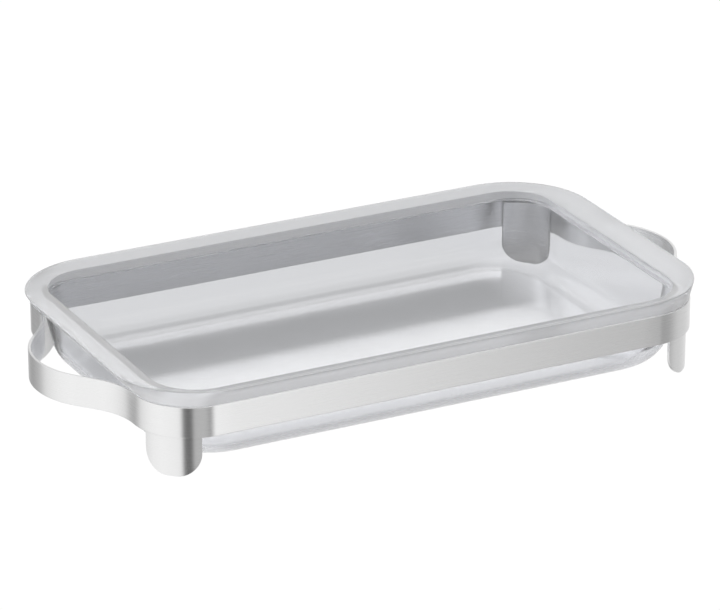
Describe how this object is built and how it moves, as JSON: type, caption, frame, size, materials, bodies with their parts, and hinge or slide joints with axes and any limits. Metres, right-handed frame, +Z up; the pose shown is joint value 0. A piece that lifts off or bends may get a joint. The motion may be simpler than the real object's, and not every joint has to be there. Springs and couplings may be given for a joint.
{
  "type": "chafing dish food warmer",
  "caption": "Rectangular clear glass serving dish with a broad rim, resting in a low brushed steel strip stand with bowed end handles and curved corner legs.",
  "frame": {"origin": "on the table, under the middle of the stand", "axes": "+X along the length towards the right handle, +Y to the back, +Z up"},
  "size_m": [0.4486, 0.2336, 0.057],
  "materials": {
    "clear_glass": "clear pressed glass",
    "brushed_steel": "satin, brushed along the strip"
  },
  "bodies": {
    "frame": {"front_strap": "brushed_steel", "rear_strap": "brushed_steel", "left_handle": "brushed_steel", "right_handle": "brushed_steel", "front_left_leg": "brushed_steel", "front_right_leg": "brushed_steel", "rear_left_leg": "brushed_steel", "rear_right_leg": "brushed_steel"},
    "dish": {"glass_dish": "clear_glass"}
  },
  "joints": [
    {"name": "dish_lift", "type": "slide", "parent": "frame", "child": "dish", "axis": [0, 0, 1], "range_m": [0, 0.06]}
  ]
}
